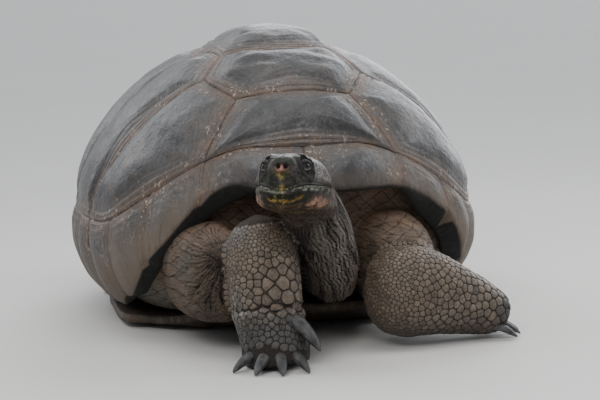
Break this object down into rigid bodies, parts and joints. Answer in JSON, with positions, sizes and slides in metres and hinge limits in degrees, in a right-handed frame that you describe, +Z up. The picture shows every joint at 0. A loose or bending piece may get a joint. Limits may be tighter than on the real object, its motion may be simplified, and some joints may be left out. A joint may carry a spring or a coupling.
{
  "type": "giant tortoise",
  "caption": "Life-size still model of a domed giant tortoise lying down, head half raised, one foreleg planted and the other laid sideways.",
  "frame": {"origin": "middle of the flat underside of the plastron, on the floor", "axes": "+Z up; the animal looks along -Y with its tail at +Y; its left side is at +X"},
  "size_m": [0.8438, 1.3288, 0.6079],
  "materials": {
    "shell": "satin charcoal-grey horn plates, worn smooth, brown in the seams",
    "shell_rim": "satin grey-brown horn, dusty and scratched towards the edge",
    "plastron": "dull worn horn, dark grey-brown",
    "skin": "matt wrinkled grey-brown skin with horny scales",
    "jaw": "dark beak and jaw skin with a pale lip and plant stains",
    "horn": "dark grey horn claws, satin",
    "eye": "wet dark brown eye"
  },
  "bodies": {
    "root": {"costal_left_1": "shell", "costal_left_2": "shell", "costal_left_3": "shell", "costal_left_4": "shell", "costal_right_1": "shell", "costal_right_2": "shell", "costal_right_3": "shell", "costal_right_4": "shell", "eye_left": "eye", "eye_right": "eye", "foreleg_left_claw_1": "horn", "foreleg_left_claw_2": "horn", "foreleg_left_claw_3": "horn", "foreleg_left_claw_4": "horn", "foreleg_left_claw_5": "horn", "foreleg_left_foot": "skin", "foreleg_left_lower": "skin", "foreleg_left_upper": "skin", "foreleg_right_claw_1": "horn", "foreleg_right_claw_2": "horn", "foreleg_right_claw_3": "horn", "foreleg_right_claw_4": "horn", "foreleg_right_claw_5": "horn", "foreleg_right_foot": "skin", "foreleg_right_lower": "skin", "foreleg_right_upper": "skin", "head": "skin", "hindleg_left_claw_1": "horn", "hindleg_left_claw_2": "horn", "hindleg_left_claw_3": "horn", "hindleg_left_claw_4": "horn", "hindleg_left_foot": "skin", "hindleg_left_lower": "skin", "hindleg_left_upper": "skin", "hindleg_right_claw_1": "horn", "hindleg_right_claw_2": "horn", "hindleg_right_claw_3": "horn", "hindleg_right_claw_4": "horn", "hindleg_right_foot": "skin", "hindleg_right_lower": "skin", "hindleg_right_upper": "skin", "lower_jaw": "jaw", "marginals_front_left": "shell_rim", "marginals_front_right": "shell_rim", "marginals_rear_left": "shell_rim", "marginals_rear_right": "shell_rim", "marginals_side_left": "shell_rim", "marginals_side_right": "shell_rim", "neck": "skin", "plastron": "plastron", "supracaudal": "shell_rim", "tail": "skin", "trunk": "skin", "vertebral_1": "shell", "vertebral_2": "shell", "vertebral_3": "shell", "vertebral_4": "shell", "vertebral_5": "shell"}
  },
  "joints": []
}
